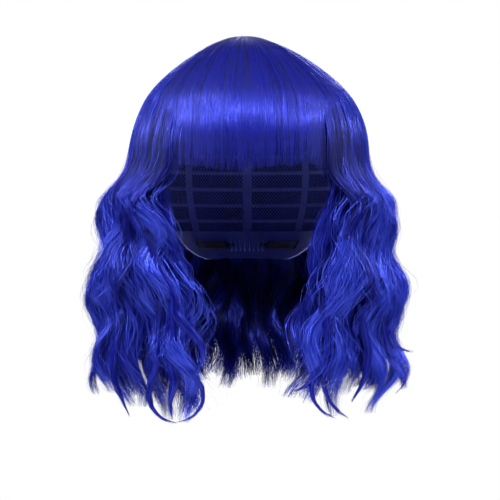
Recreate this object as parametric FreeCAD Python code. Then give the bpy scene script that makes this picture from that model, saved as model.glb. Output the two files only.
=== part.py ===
"""Costume wig: a wefted stretch cap with a full fringe and a wavy bob of synthetic hair.

Frame: +Z up, the face looks along -Y, +X is the viewer's right of the face. The origin is the centre of the head
that wears the wig, on its widest girth. Every cap layer is a shell between two swollen copies of one head form, so
a layer's "lift" is its height above the scalp. Hair is made as closed locks: the crown and the fringe follow one
mantle, and the hanging locks stand in a ring below it, between shared swaying edges.
"""
import FreeCAD
import Part
import math
import os
from FreeCAD import Vector

# ---------------------------------------------------------------- driving dimensions (mm and degrees)
# Head form, half sizes about the origin
HEAD_HALF_BREADTH = 79.0
HEAD_HALF_LENGTH = 98.0
HEAD_HALF_HEIGHT = 99.0

# Cap layers, from the scalp outwards
BAND_THICKNESS = 1.0
NET_THICKNESS = 0.6
RIBBON_THICKNESS = 0.6
WEFT_THICKNESS = 2.0
FRONT_BAND_WIDTH = 18.0
BINDING_WIDTH = 7.0
NAPE_BAND_WIDTH = 24.0
SEAM_GAP = 0.3

# Landmarks of the cap's rim in side view, as (y, z) shares of the head form's half length and half height
HAIRLINE = (-0.66, 0.62)
TEMPLE = (-0.52, 0.44)
TAB_FRONT = (-0.45, 0.24)
TAB_BACK = (-0.20, 0.10)
EAR_TOP = (0.04, 0.11)
EAR_BACK = (0.27, -0.16)
NECK_SIDE = (0.36, -0.56)
NAPE_CORNER = (0.46, -0.72)
NAPE = (0.62, -0.74)

# Ear tabs and the bendable stays inside them
TAB_LENGTH = 38.0
TAB_TIP_RADIUS = 8.0
TAB_ROOT_GAP = 0.6
STAY_WIDTH = 3.0
STAY_THICKNESS = 0.6
STAY_MARGIN = 7.0

# Ribbons, crown pad and weft rows
RIBBON_WIDTH = 8.0
PAD_HALF_BREADTH = 34.0
PAD_HALF_LENGTH = 42.0
WEFT_HEIGHT = 3.0
WEFT_ROWS = 12
LOWEST_WEFT_ANGLE = -41.0
HIGHEST_WEFT_ANGLE = 52.0
WEFT_INSET = 5.0

# Nape adjusters: elastic strap, hook and the row of thread loops that it catches in
STRAP_WIDTH = 7.0
STRAP_THICKNESS = 0.6
STRAP_CLEARANCE = 1.1
STRAP_START_ANGLE = 58.0
ANCHOR_SPAN = 8.0
HOOK_START_ANGLE = 14.0
TONGUE_SPAN = 7.0
TONGUE_WIDTH = 3.0
PLATE_SPAN = 6.0
HOOK_THICKNESS = 0.9
BARB_SPAN = 1.6
BARB_RISE = 0.5
LOOP_COUNT = 4
LOOP_PITCH = 5.0
LOOP_SPAN = 0.9
LOOP_THREAD = 0.8
LOOP_HEIGHT = 11.0
LOOP_CLEARANCE = 0.45

# Hair mantle: how deep the hair lies over the head form
SIDE_HAIR_DEPTH = 23.0
FRONT_HAIR_DEPTH = 17.0
BACK_HAIR_DEPTH = 23.0
TOP_HAIR_DEPTH = 17.0
WHORL_Y = 6.0
ROOT_GAP = 0.15
GROOVE_WIDTH = 0.8
GROOVE_DEPTH = 3.0
GROOVE_STEP = 12.0
FRONT_SECTOR = 40.0
BACK_SECTOR = 124.0
BODY_GAP = 1.2

# Fringe
FRINGE_HALF_WIDTH = 60.0
FRINGE_BELOW_HAIRLINE = 1.5
FRINGE_LENGTH = 59.0
FRINGE_DEPTH = 13.0
FRINGE_LOCKS = 7
FRINGE_CORNER_DROP = 9.0
FRINGE_GAP = 0.6

# Hanging locks: number in each panel, gaps, wave, and length of each lock from the hang line
HANG_HEIGHT = 8.0
HANG_GAP = 0.4
LOCK_GAP = 1.5
WAVE_LENGTH = 68.0
FIRST_CREST = 34.0
WAVE_DEPTH = 5.0
SIDE_SWAY = 2.4
TAPER_LENGTH = 52.0
LOCK_LEVELS = 16
LEFT_LENGTHS = (214.0, 205.0, 198.0, 194.0, 190.0)
RIGHT_LENGTHS = (204.0, 198.0, 201.0, 195.0, 191.0)
BACK_LENGTHS = (188.0, 195.0, 192.0, 196.0, 191.0, 194.0)

# Sizes that change down the hanging hair, each as (distance below the hang line, size): how far the hair stands out
# past the mantle at the side, front and back, how deep a lock is, and the side hair's front edge round from the face
OUT_AT_SIDE = ((0.0, 0.0), (34.0, 18.0), (68.0, 24.0), (102.0, 30.0), (168.0, 28.0), (208.0, 20.0))
OUT_AT_FRONT = ((0.0, 0.0), (50.0, -6.0), (108.0, -22.0), (208.0, -34.0))
OUT_AT_BACK = ((0.0, 0.0), (48.0, 2.0), (108.0, -3.0), (208.0, -12.0))
LOCK_DEPTH = ((0.0, 18.0), (48.0, 24.0), (128.0, 26.0), (208.0, 20.0))
FACE_EDGE = ((0.0, 43.5), (32.0, 44.0), (68.0, 34.0), (108.0, 25.5), (138.0, 22.5), (208.0, 21.5))

# Section of a lock as (share of its width, share of its depth from the outside)
LOCK_SECTION = (
    (0.0, 0.5), (0.05, 0.2), (0.25, 0.03), (0.5, 0.0), (0.75, 0.03), (0.95, 0.2),
    (1.0, 0.5), (0.95, 0.8), (0.75, 0.97), (0.5, 1.0), (0.25, 0.97), (0.05, 0.8),
)

FAR = 300.0

# ---------------------------------------------------------------- derived sizes
NET_LOW = BAND_THICKNESS
NET_HIGH = NET_LOW + NET_THICKNESS
RIBBON_HIGH = NET_HIGH + RIBBON_THICKNESS
WEFT_HIGH = RIBBON_HIGH + WEFT_THICKNESS

MANTLE_HALF_BREADTH = HEAD_HALF_BREADTH + SIDE_HAIR_DEPTH
MANTLE_HALF_LENGTH = HEAD_HALF_LENGTH + (FRONT_HAIR_DEPTH + BACK_HAIR_DEPTH) / 2
MANTLE_HALF_HEIGHT = HEAD_HALF_HEIGHT + TOP_HAIR_DEPTH
MANTLE_Y = (BACK_HAIR_DEPTH - FRONT_HAIR_DEPTH) / 2


def on_head(landmark):
    """A rim landmark as (y, z) in mm."""
    return landmark[0] * HEAD_HALF_LENGTH, landmark[1] * HEAD_HALF_HEIGHT


FRINGE_TOP = on_head(HAIRLINE)[1] - FRINGE_BELOW_HAIRLINE
NAPE_HEIGHT = on_head(NAPE)[1]
NAPE_BAND_TOP = NAPE_HEIGHT + NAPE_BAND_WIDTH
ADJUSTER_HEIGHT = NAPE_HEIGHT + NAPE_BAND_WIDTH / 2


# ---------------------------------------------------------------- shared shapes
def ellipsoid(half_x, half_y, half_z, centre_y=0.0):
    """A ball stretched to three half sizes."""
    stretch = FreeCAD.Matrix()
    stretch.scale(half_x, half_y, half_z)
    ball = Part.makeSphere(1.0).transformGeometry(stretch)
    ball.translate(Vector(0, centre_y, 0))
    return ball


def head_form(lift):
    """The head form swollen by a lift."""
    return ellipsoid(HEAD_HALF_BREADTH + lift, HEAD_HALF_LENGTH + lift, HEAD_HALF_HEIGHT + lift)


def layer(low, high):
    """The closed shell between two lifts."""
    return head_form(high).cut(head_form(low))


def mantle(inset=0.0):
    """The outer form of the crown hair, or the same form shrunk by an inset."""
    return ellipsoid(
        MANTLE_HALF_BREADTH - inset, MANTLE_HALF_LENGTH - inset, MANTLE_HALF_HEIGHT - inset, MANTLE_Y
    )


def box(x_range, y_range, z_range):
    low = Vector(x_range[0], y_range[0], z_range[0])
    return Part.makeBox(x_range[1] - low.x, y_range[1] - low.y, z_range[1] - low.z, low)


def slab(low, high):
    """Everything between two heights."""
    return box((-FAR, FAR), (-FAR, FAR), (low, high))


def sector(first, last, centre_y, low=-FAR, high=FAR):
    """An upright wedge between two azimuths in degrees: 0 is the face, 90 is +X and 180 the back of the head."""
    steps = max(2, int(abs(last - first) / 30) + 1)
    points = [Vector(0, centre_y, low)]
    for i in range(steps + 1):
        a = math.radians(first + (last - first) * i / steps)
        points.append(Vector(FAR * math.sin(a), centre_y - FAR * math.cos(a), low))
    return Part.Face(Part.makePolygon(points + points[:1])).extrude(Vector(0, 0, high - low))


def mirrored(shape):
    return shape.mirror(Vector(0, 0, 0), Vector(1, 0, 0))


# ---------------------------------------------------------------- rim of the cap
def rim_points(inset):
    """The rim in side view as (y, z), moved into the cap by an inset."""
    landmarks = (HAIRLINE, TEMPLE, TAB_FRONT, TAB_BACK, EAR_TOP, EAR_BACK, NECK_SIDE, NAPE_CORNER, NAPE)
    marks = [on_head(landmark) for landmark in landmarks]
    marks = [(-FAR, marks[0][1]), (-HEAD_HALF_LENGTH, marks[0][1])] + marks + [(FAR, marks[-1][1])]
    moved = []
    for before, here, after in zip(marks, marks[1:], marks[2:]):
        run, rise = after[0] - before[0], after[1] - before[1]
        length = math.hypot(run, rise)
        moved.append((here[0] - inset * rise / length, here[1] + inset * run / length))
    return [(-FAR, moved[0][1])] + moved + [(FAR, moved[-1][1])]


def cap_region(inset=0.0):
    """All of space above the rim, or above the rim moved into the cap by an inset."""
    points = [Vector(-FAR, y, z) for y, z in rim_points(inset)]
    curve = Part.BSplineCurve()
    curve.interpolate(points[1:-1])
    top = [Vector(-FAR, FAR, FAR), Vector(-FAR, -FAR, FAR)]
    corners = [points[-2], points[-1], *top, points[0], points[1]]
    edges = [Part.makeLine(a, b) for a, b in zip(corners, corners[1:])]
    return Part.Face(Part.Wire([curve.toShape()] + edges)).extrude(Vector(2 * FAR, 0, 0))


# ---------------------------------------------------------------- cap shell and its edge bands
def cap_net():
    return layer(NET_LOW, NET_HIGH).common(cap_region())


def edge_band(width):
    """The strip of lining along the whole rim."""
    return layer(0, BAND_THICKNESS).common(cap_region()).cut(cap_region(width))


def front_band():
    return edge_band(FRONT_BAND_WIDTH).common(box((-FAR, FAR), (-FAR, on_head(TAB_BACK)[0]), (0, FAR)))


def ear_binding():
    y_start = on_head(TAB_BACK)[0] + SEAM_GAP
    return edge_band(BINDING_WIDTH).common(box((0, FAR), (y_start, FAR), (NAPE_BAND_TOP + SEAM_GAP, FAR)))


def nape_band():
    return layer(0, BAND_THICKNESS).common(cap_region()).common(slab(-FAR, NAPE_BAND_TOP))


# ---------------------------------------------------------------- ear tabs
TAB_Y = (on_head(TAB_FRONT)[0] + on_head(TAB_BACK)[0]) / 2
TAB_ROOT = on_head(TAB_BACK)[1]
TAB_TIP = TAB_ROOT - TAB_LENGTH


def tab_outline():
    """The tongue in side view, run out to the right, with its root up inside the cap."""
    arc_z = TAB_TIP + TAB_TIP_RADIUS
    root_z = on_head(TAB_FRONT)[1] + BINDING_WIDTH
    front, back = Vector(0, TAB_Y - TAB_TIP_RADIUS, arc_z), Vector(0, TAB_Y + TAB_TIP_RADIUS, arc_z)
    root_front, root_back = Vector(0, on_head(TAB_FRONT)[0], root_z), Vector(0, on_head(TAB_BACK)[0], root_z)
    tip = Part.Arc(front, Vector(0, TAB_Y, TAB_TIP), back).toShape()
    sides = [Part.makeLine(back, root_back), Part.makeLine(root_back, root_front), Part.makeLine(root_front, front)]
    return Part.Face(Part.Wire([tip] + sides)).extrude(Vector(FAR, 0, 0))


def tab_stay():
    """The narrow bendable strip buried in the middle of the tab."""
    middle = NET_HIGH / 2
    shell = layer(middle - STAY_THICKNESS / 2, middle + STAY_THICKNESS / 2)
    y_range = (TAB_Y - STAY_WIDTH / 2, TAB_Y + STAY_WIDTH / 2)
    return shell.common(box((0, FAR), y_range, (TAB_TIP + STAY_MARGIN, TAB_ROOT - STAY_MARGIN / 2)))


def ear_tab():
    return layer(0, NET_HIGH).common(tab_outline()).cut(cap_region(-TAB_ROOT_GAP)).cut(tab_stay())


# ---------------------------------------------------------------- ribbons, pad and wefts
def pad_column(grow=0.0):
    """Upright oval column over the crown pad."""
    oval = Part.Ellipse(Vector(0, WHORL_Y, 0), PAD_HALF_LENGTH + grow, PAD_HALF_BREADTH + grow)
    wire = Part.Wire(oval.toShape())
    wire.rotate(Vector(0, WHORL_Y, 0), Vector(0, 0, 1), 90)
    return Part.Face(wire).extrude(Vector(0, 0, FAR))


def crown_pad():
    return layer(NET_HIGH, WEFT_HIGH).common(pad_column())


def ribbon(azimuth):
    """One stay ribbon from the crown pad down to the rim."""
    strip = box((-RIBBON_WIDTH / 2, RIBBON_WIDTH / 2), (-FAR, 0), (-FAR, FAR))
    strip.rotate(Vector(0, 0, 0), Vector(0, 0, 1), azimuth)
    strip.translate(Vector(0, WHORL_Y, 0))
    shell = layer(NET_HIGH, RIBBON_HIGH).common(cap_region(SEAM_GAP))
    return shell.common(strip).cut(pad_column(SEAM_GAP))


def weft_row(index):
    """One sewn weft track, level around the head and stopped short of the rim."""
    span = HIGHEST_WEFT_ANGLE - LOWEST_WEFT_ANGLE
    angle = math.radians(LOWEST_WEFT_ANGLE + span * index / (WEFT_ROWS - 1))
    middle = HEAD_HALF_HEIGHT * math.sin(angle)
    half = WEFT_HEIGHT / 2 * max(math.cos(angle), 0.5)
    track = layer(RIBBON_HIGH, WEFT_HIGH).common(cap_region(WEFT_INSET))
    return track.common(slab(middle - half, middle + half)).cut(pad_column(SEAM_GAP))


# ---------------------------------------------------------------- nape adjusters
def nape_axis_y():
    """Centre, in plan, of the nape's curve at the adjusters' height: the hooks travel round it."""
    share = math.sqrt(1 - (ADJUSTER_HEIGHT / HEAD_HALF_HEIGHT) ** 2)
    half_x, half_y = HEAD_HALF_BREADTH * share, HEAD_HALF_LENGTH * share
    return half_y - half_x**2 / half_y


def nape_patch(low, high, first, last, width):
    """A patch of a layer on the right of the nape, between two angles from its middle."""
    wedge = sector(180 - last, 180 - first, nape_axis_y(), -HEAD_HALF_HEIGHT, 0)
    band = slab(ADJUSTER_HEIGHT - width / 2, ADJUSTER_HEIGHT + width / 2)
    return layer(low, high).common(wedge.common(band))


STRAP_HIGH = -STRAP_CLEARANCE
STRAP_LOW = STRAP_HIGH - STRAP_THICKNESS
HOOK_LOW = STRAP_HIGH - HOOK_THICKNESS
BARB_LOW = HOOK_LOW - BARB_RISE
LOOP_INNER = BARB_LOW - LOOP_CLEARANCE
PLATE_START_ANGLE = HOOK_START_ANGLE + TONGUE_SPAN
HOOK_END_ANGLE = PLATE_START_ANGLE + PLATE_SPAN
FIRST_LOOP_ANGLE = PLATE_START_ANGLE - 0.7 * LOOP_PITCH


def strap():
    return nape_patch(STRAP_LOW, STRAP_HIGH, HOOK_END_ANGLE, STRAP_START_ANGLE, STRAP_WIDTH)


def strap_anchor():
    """The stitched pad that joins the strap's outer end to the nape band."""
    return nape_patch(STRAP_HIGH, 0, STRAP_START_ANGLE - ANCHOR_SPAN, STRAP_START_ANGLE, STRAP_WIDTH)


def hook():
    """Plate sewn to the strap, a narrow tongue that runs under the loops, and a barb at its end."""
    plate = nape_patch(HOOK_LOW, STRAP_HIGH, PLATE_START_ANGLE, HOOK_END_ANGLE, STRAP_WIDTH)
    tongue = nape_patch(HOOK_LOW, STRAP_HIGH, HOOK_START_ANGLE, PLATE_START_ANGLE + 1, TONGUE_WIDTH)
    barb = nape_patch(BARB_LOW, HOOK_LOW, HOOK_START_ANGLE, HOOK_START_ANGLE + BARB_SPAN, TONGUE_WIDTH)
    return plate.fuse([tongue, barb]).removeSplitter()


def hook_loops():
    """Thread loops standing on the nape band, each a bar on two feet that the tongue passes under."""
    loops = []
    for i in range(LOOP_COUNT):
        first = FIRST_LOOP_ANGLE - LOOP_PITCH * i
        arch = nape_patch(LOOP_INNER - LOOP_THREAD, 0, first, first + LOOP_SPAN, LOOP_HEIGHT)
        window = nape_patch(LOOP_INNER, 0, first, first + LOOP_SPAN, LOOP_HEIGHT - 2 * LOOP_THREAD)
        loops.append(arch.cut(window))
    return Part.makeCompound(loops)


# ---------------------------------------------------------------- crown hair
def groove_tools(azimuths):
    """Thin upright fins under the mantle's surface, which part the crown hair into radiating locks."""
    rind = mantle(-1).cut(mantle(GROOVE_DEPTH))
    fins = []
    for azimuth in azimuths:
        fin = box((-GROOVE_WIDTH / 2, GROOVE_WIDTH / 2), (-FAR, -GROOVE_STEP), (-FAR, FAR))
        fin.rotate(Vector(0, 0, 0), Vector(0, 0, 1), azimuth)
        fin.translate(Vector(0, WHORL_Y, 0))
        fins.append(fin.common(rind))
    return fins


def crown_shell():
    return mantle().cut(head_form(WEFT_HIGH + ROOT_GAP)).common(slab(HANG_HEIGHT, FAR))


def crown_hair_front():
    front = sector(-FRONT_SECTOR, FRONT_SECTOR, WHORL_Y, FRINGE_TOP + SEAM_GAP, FAR)
    azimuths = [GROOVE_STEP * (i + 0.5) for i in range(-3, 3)]
    return crown_shell().common(front).cut(groove_tools(azimuths))


def crown_hair_side():
    """From the edge of the front hair to the edge of the back hair, with the fringe's bay left open."""
    front = sector(-FRONT_SECTOR, FRONT_SECTOR, WHORL_Y, FRINGE_TOP, FAR)
    half_bay = FRINGE_HALF_WIDTH + BODY_GAP
    bay = box((-half_bay, half_bay), (-FAR, -GROOVE_STEP), (0, FRINGE_TOP))
    back = sector(BACK_SECTOR, 360 - BACK_SECTOR, WHORL_Y)
    other_half = box((-FAR, SEAM_GAP / 2), (-FAR, FAR), (-FAR, FAR))
    count = int((BACK_SECTOR - FRONT_SECTOR) / GROOVE_STEP)
    azimuths = [FRONT_SECTOR + GROOVE_STEP * (i + 0.5) for i in range(count)]
    return crown_shell().cut([front, bay, back, other_half]).cut(groove_tools(azimuths))


def crown_hair_back():
    back = sector(BACK_SECTOR + SEAM_GAP, 360 - BACK_SECTOR - SEAM_GAP, WHORL_Y)
    azimuths = [180 + GROOVE_STEP * (i + 0.5) for i in range(-4, 4)]
    return crown_shell().common(back).cut(groove_tools(azimuths))


# ---------------------------------------------------------------- locks as lofts
def loft(sections):
    """A closed solid through many-sided sections: flat facets across, smooth along its length."""
    return Part.makeLoft([Part.makePolygon(points + points[:1]) for points in sections], True, False)


def eased(share):
    """0 to 1 with level ends."""
    share = min(max(share, 0.0), 1.0)
    return share * share * (3 - 2 * share)


def along(table, drop):
    """A size read off a table of (distance below the hang line, size), smoothly between its rows."""
    for (high, size_high), (low, size_low) in zip(table, table[1:]):
        if drop <= low:
            return size_high + (size_low - size_high) * eased((drop - high) / (low - high))
    return table[-1][1]


def narrowed(near, far, share):
    """Two edges drawn in towards their middle."""
    middle = (near + far) / 2
    return middle + (near - middle) * share, middle + (far - middle) * share


# ---------------------------------------------------------------- fringe
def fringe_point(x, z, depth):
    half_x = MANTLE_HALF_BREADTH - depth
    half_y = MANTLE_HALF_LENGTH - depth
    half_z = MANTLE_HALF_HEIGHT - depth
    return Vector(x, MANTLE_Y - half_y * math.sqrt(1 - (x / half_x) ** 2 - (z / half_z) ** 2), z)


def fringe_lock(index):
    width = 2 * FRINGE_HALF_WIDTH / FRINGE_LOCKS
    first = -FRINGE_HALF_WIDTH + width * index
    offset = abs(first + width / 2) / FRINGE_HALF_WIDTH
    length = FRINGE_LENGTH + FRINGE_CORNER_DROP * offset**4
    levels = 5
    sections = []
    for i in range(levels + 1):
        share = i / levels
        z = FRINGE_TOP - length * share
        near, far = narrowed(first + FRINGE_GAP / 2, first + width - FRINGE_GAP / 2, 1 - 0.35 * share**4)
        depth = FRINGE_DEPTH * (1 - 0.68 * share**1.5)
        sections.append([fringe_point(near + (far - near) * u, z, depth * v) for u, v in LOCK_SECTION])
    return loft(sections)


def fringe():
    return Part.makeCompound([fringe_lock(i) for i in range(FRINGE_LOCKS)])


# ---------------------------------------------------------------- hanging locks
def wave(drop, phase):
    """The hair's wave, which grows in below the ear."""
    grown = eased(drop / (WAVE_LENGTH / 2))
    return grown * math.cos(2 * math.pi * (drop - FIRST_CREST) / WAVE_LENGTH + phase)


def hair_point(angle, drop, depth, swing):
    """A point in the hanging hair: degrees round from the face, distance down, depth below the outside, swing out."""
    a = math.radians(angle)
    half_x = MANTLE_HALF_BREADTH + along(OUT_AT_SIDE, drop) + swing - depth
    lengthwise = OUT_AT_FRONT if math.cos(a) > 0 else OUT_AT_BACK
    half_y = MANTLE_HALF_LENGTH + along(lengthwise, drop) + swing - depth
    return Vector(half_x * math.sin(a), MANTLE_Y - half_y * math.cos(a), HANG_HEIGHT - drop)


def lock_edge(first, last, count, number, drop):
    """Azimuth of one edge between neighbouring locks: the outer two are plain, the others sway."""
    sway = 0.0 if number in (0, count) else SIDE_SWAY * wave(drop, 2.1 * number)
    return first + (last - first) * number / count + sway


def hanging_lock(edges, length, phase, curl):
    """A wavy lock from the hang line to its tip. edges(drop) gives its two azimuths, curl bends its tip in or out."""
    half_gap = math.degrees(LOCK_GAP / 2 / MANTLE_HALF_BREADTH)
    sections = []
    for i in range(LOCK_LEVELS + 1):
        drop = HANG_GAP + (length - HANG_GAP) * i / LOCK_LEVELS
        taper = eased((drop - length + TAPER_LENGTH) / TAPER_LENGTH)
        near, far = edges(drop)
        near, far = narrowed(near + half_gap, far - half_gap, 1 - 0.7 * taper)
        depth = along(LOCK_DEPTH, drop) * (1 - 0.6 * taper)
        swing = WAVE_DEPTH * wave(drop, phase) + curl * taper**2
        sections.append([hair_point(near + (far - near) * u, drop, depth * v, swing) for u, v in LOCK_SECTION])
    return loft(sections)


def side_lock(lengths, number):
    """Lock number 0 frames the face and the last one meets the back hair."""
    count = len(lengths)
    last = BACK_SECTOR - math.degrees(BODY_GAP / MANTLE_HALF_BREADTH)

    def edges(drop):
        return [lock_edge(along(FACE_EDGE, drop), last, count, number + i, drop) for i in (0, 1)]

    curl = WAVE_DEPTH * (-1.2 if number % 2 == 0 else 1.0)
    return hanging_lock(edges, lengths[number], 0.25 * (number - count // 2), curl)


def back_lock(number):
    count = len(BACK_LENGTHS)
    first = BACK_SECTOR + math.degrees(BODY_GAP / MANTLE_HALF_BREADTH)

    def edges(drop):
        return [lock_edge(first, 360 - first, count, number + i, drop) for i in (0, 1)]

    curl = WAVE_DEPTH * (0.8 if number % 2 == 0 else -1.0)
    return hanging_lock(edges, BACK_LENGTHS[number], 0.4 * (number - (count - 1) / 2), curl)


# ---------------------------------------------------------------- assembly
RIBBONS = {
    "ribbon_front": 0.0,
    "ribbon_front_right": 48.0,
    "ribbon_side_right": 96.0,
    "ribbon_back_right": 144.0,
    "ribbon_back": 180.0,
    "ribbon_back_left": 216.0,
    "ribbon_side_left": 264.0,
    "ribbon_front_left": 312.0,
}

PAIRED = {
    "ear_binding": ear_binding,
    "ear_tab": ear_tab,
    "ear_tab_stay": tab_stay,
    "strap": strap,
    "strap_anchor": strap_anchor,
    "hook": hook,
    "hook_loops": hook_loops,
    "crown_hair": crown_hair_side,
}


def sub_parts():
    """Every node's name and shape."""
    yield "cap_net", cap_net()
    yield "front_band", front_band()
    yield "nape_band", nape_band()
    yield "crown_pad", crown_pad()
    for name, azimuth in RIBBONS.items():
        yield name, ribbon(azimuth)
    for index in range(WEFT_ROWS):
        yield f"weft_row_{index + 1}", weft_row(index)
    for name, make in PAIRED.items():
        right = make()
        yield f"{name}_right", right
        yield f"{name}_left", mirrored(right)
    yield "crown_hair_front", crown_hair_front()
    yield "crown_hair_back", crown_hair_back()
    yield "fringe", fringe()
    for number in range(len(RIGHT_LENGTHS)):
        yield f"lock_right_{number + 1}", side_lock(RIGHT_LENGTHS, number)
    for number in range(len(LEFT_LENGTHS)):
        yield f"lock_left_{number + 1}", mirrored(side_lock(LEFT_LENGTHS, number))
    for number in range(len(BACK_LENGTHS)):
        yield f"lock_back_{number + 1}", back_lock(number)


def main():
    os.makedirs("parts", exist_ok=True)
    for name, shape in sub_parts():
        shape.exportStep(f"parts/{name}.step")
        volume = sum(solid.Volume for solid in shape.Solids)
        print(f"{name}: {len(shape.Solids)} solids, {volume:.0f} mm3, valid {shape.isValid()}")


main()
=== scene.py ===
"""Blue costume wig: strands, cap fabrics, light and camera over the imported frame.

+Z is up and the face looks along -Y. Shapes are worked out in millimetres and written to the meshes in
metres."""
import bpy
import math
import numpy as np
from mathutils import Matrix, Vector


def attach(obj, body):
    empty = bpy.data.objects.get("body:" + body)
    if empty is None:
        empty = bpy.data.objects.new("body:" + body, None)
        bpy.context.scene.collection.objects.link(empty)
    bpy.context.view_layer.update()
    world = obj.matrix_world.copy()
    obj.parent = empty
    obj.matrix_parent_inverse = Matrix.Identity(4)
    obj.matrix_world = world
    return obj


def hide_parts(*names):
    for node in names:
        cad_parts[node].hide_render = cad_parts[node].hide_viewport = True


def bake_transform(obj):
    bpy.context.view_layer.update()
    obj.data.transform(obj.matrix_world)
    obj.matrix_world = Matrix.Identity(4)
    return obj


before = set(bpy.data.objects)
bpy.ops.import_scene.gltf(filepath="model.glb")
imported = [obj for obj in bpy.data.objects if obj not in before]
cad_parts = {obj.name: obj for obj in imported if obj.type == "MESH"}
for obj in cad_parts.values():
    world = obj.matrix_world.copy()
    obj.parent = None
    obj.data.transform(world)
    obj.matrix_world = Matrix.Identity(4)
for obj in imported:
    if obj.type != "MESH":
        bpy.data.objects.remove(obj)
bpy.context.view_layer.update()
rng = np.random.default_rng(20)
MM = 0.001
SIDES = (("left", -1), ("right", 1))
TRIANGLES_MOST = 195000  # in one mesh of strands
POINTS = 50  # along a hanging strand
# the bundles' dark hearts, painted shade inside the hair: points along one, its reach as a share of the
# bundle's length, and its tone
CORE_POINTS, CORE_REACH, CORE_SHADE_TONE = 36, 0.86, 0.10

# -------------------- sizes shared with the frame (mm, degrees)
HEAD = np.array([79.0, 98.0, 99.0])  # half sizes of the head form inside the cap
MANTLE = np.array([102.0, 118.0, 116.0])  # half sizes of the hair's outside over the crown
MANTLE_Y = 3.0  # the mantle's centre lies this far behind the head's
HANG = 8.0  # height of the line below which the hair hangs
CREST = 34.0  # drop from that line to the waves' first crest
BACK_EDGE = 124.0  # azimuth where the side hair meets the back hair; 0 is the front
# by drop below the hang line: how far the outside stands out, the hair's depth, and the azimuth of
# the face's edge
OUT_SIDE = ((0, 34, 68, 102, 168, 208), (0, 18, 24, 30, 28, 20))
OUT_FRONT = ((0, 50, 108, 208), (0, -6, -22, -34))
OUT_BACK = ((0, 48, 108, 208), (0, 2, -3, -12))
DEPTH = ((0, 48, 128, 208), (18, 24, 26, 20))
FACE_EDGE = ((0, 32, 68, 108, 138, 208), (47, 46.5, 39, 28.5, 23.5, 21.5))
# the cap's rim in side view, as (y, z)
RIM = (
    (-98, -65, -51, -44.1, -19.6, 3.9, 26.5, 35.3, 45.1, 60.8, 110),
    (61.4, 61.4, 43.6, 23.8, 9.9, 10.9, -15.8, -55.4, -71.3, -73.3, -73.3),
)


def smooth(t):
    t = np.clip(t, 0, 1)
    return t * t * (3 - 2 * t)


def along(table, d):
    """Smooth reading of a size down the hanging hair."""
    xs, ys = np.array(table[0], float), np.array(table[1], float)
    d = np.clip(d, xs[0], xs[-1])
    i = np.clip(np.searchsorted(xs, d, side="right") - 1, 0, len(xs) - 2)
    return ys[i] + (ys[i + 1] - ys[i]) * smooth((d - xs[i]) / (xs[i + 1] - xs[i]))


def unit(v):
    return v / np.maximum(np.linalg.norm(v, axis=-1, keepdims=True), 1e-9)


# -------------------- materials
def nodes_of(name):
    """A new material with its node tree, its main shader and the call that links sockets."""
    m = bpy.data.materials.new(name)
    m.use_nodes = True
    t = m.node_tree
    return m, t, t.nodes["Principled BSDF"], t.links.new


def set_inputs(node, values):
    for socket, value in values.items():
        node.inputs[socket].default_value = value


def added(tree, kind, values=()):
    """A new shader node with constants on its sockets."""
    node = tree.nodes.new("ShaderNode" + kind)
    set_inputs(node, dict(values))
    return node


def noise_at(tree, place, scale):
    noise = added(tree, "TexNoise", {"Scale": scale})
    tree.links.new(place.outputs["Object"], noise.inputs["Vector"])
    return noise


def multiply_add(tree, value, factor, extra):
    """The output socket of value * factor + extra, where value and extra are sockets."""
    node = added(tree, "Math", {1: factor})
    node.operation = "MULTIPLY_ADD"
    tree.links.new(value, node.inputs[0])
    tree.links.new(extra, node.inputs[2])
    return node.outputs[0]


def coloured(tree, value, stops, shader):
    """Colours the shader by a ramp over a value."""
    r = tree.nodes.new("ShaderNodeValToRGB")
    r.color_ramp.elements.remove(r.color_ramp.elements[1])
    for i, (pos, colour) in enumerate(stops):
        e = r.color_ramp.elements[0] if i == 0 else r.color_ramp.elements.new(pos)
        e.position = pos
        e.color = (*colour, 1)
    tree.links.new(value, r.inputs["Fac"])
    tree.links.new(r.outputs["Color"], shader.inputs["Base Color"])


def bumped(tree, height, strength, distance, shader):
    b = added(tree, "Bump", {"Strength": strength, "Distance": distance})
    tree.links.new(height, b.inputs["Height"])
    tree.links.new(b.outputs["Normal"], shader.inputs["Normal"])


def hair_material(name, dark, mid, light):
    """Synthetic fibre: each strand has its own tone, which also carries painted shade and painted light,
    mottled along its length, and is duller near its root.
    """
    m, t, p, link = nodes_of(name)
    tone = t.nodes.new("ShaderNodeAttribute")
    tone.attribute_name = "tone"
    noise = noise_at(t, added(t, "TexCoord"), 220)
    mottle = multiply_add(t, noise.outputs["Fac"], 0.16, tone.outputs["Fac"])
    coloured(t, mottle, ((0.08, dark), (0.55, mid), (1.0, light)), p)
    dull = added(t, "MapRange", {"From Min": 0.05, "From Max": 0.50, "To Min": 0.70, "To Max": 0.235})
    link(tone.outputs["Fac"], dull.inputs["Value"])
    link(dull.outputs["Result"], p.inputs["Roughness"])
    gloss = {"Metallic": 0.35, "IOR": 1.5, "Specular IOR Level": 0.6, "Specular Tint": (0.33, 0.41, 1.0, 1)}
    set_inputs(p, gloss)
    return m


HAIR = hair_material("fibre", (0.0014, 0.0012, 0.028), (0.0045, 0.0065, 0.25), (0.050, 0.085, 0.74))


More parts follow.
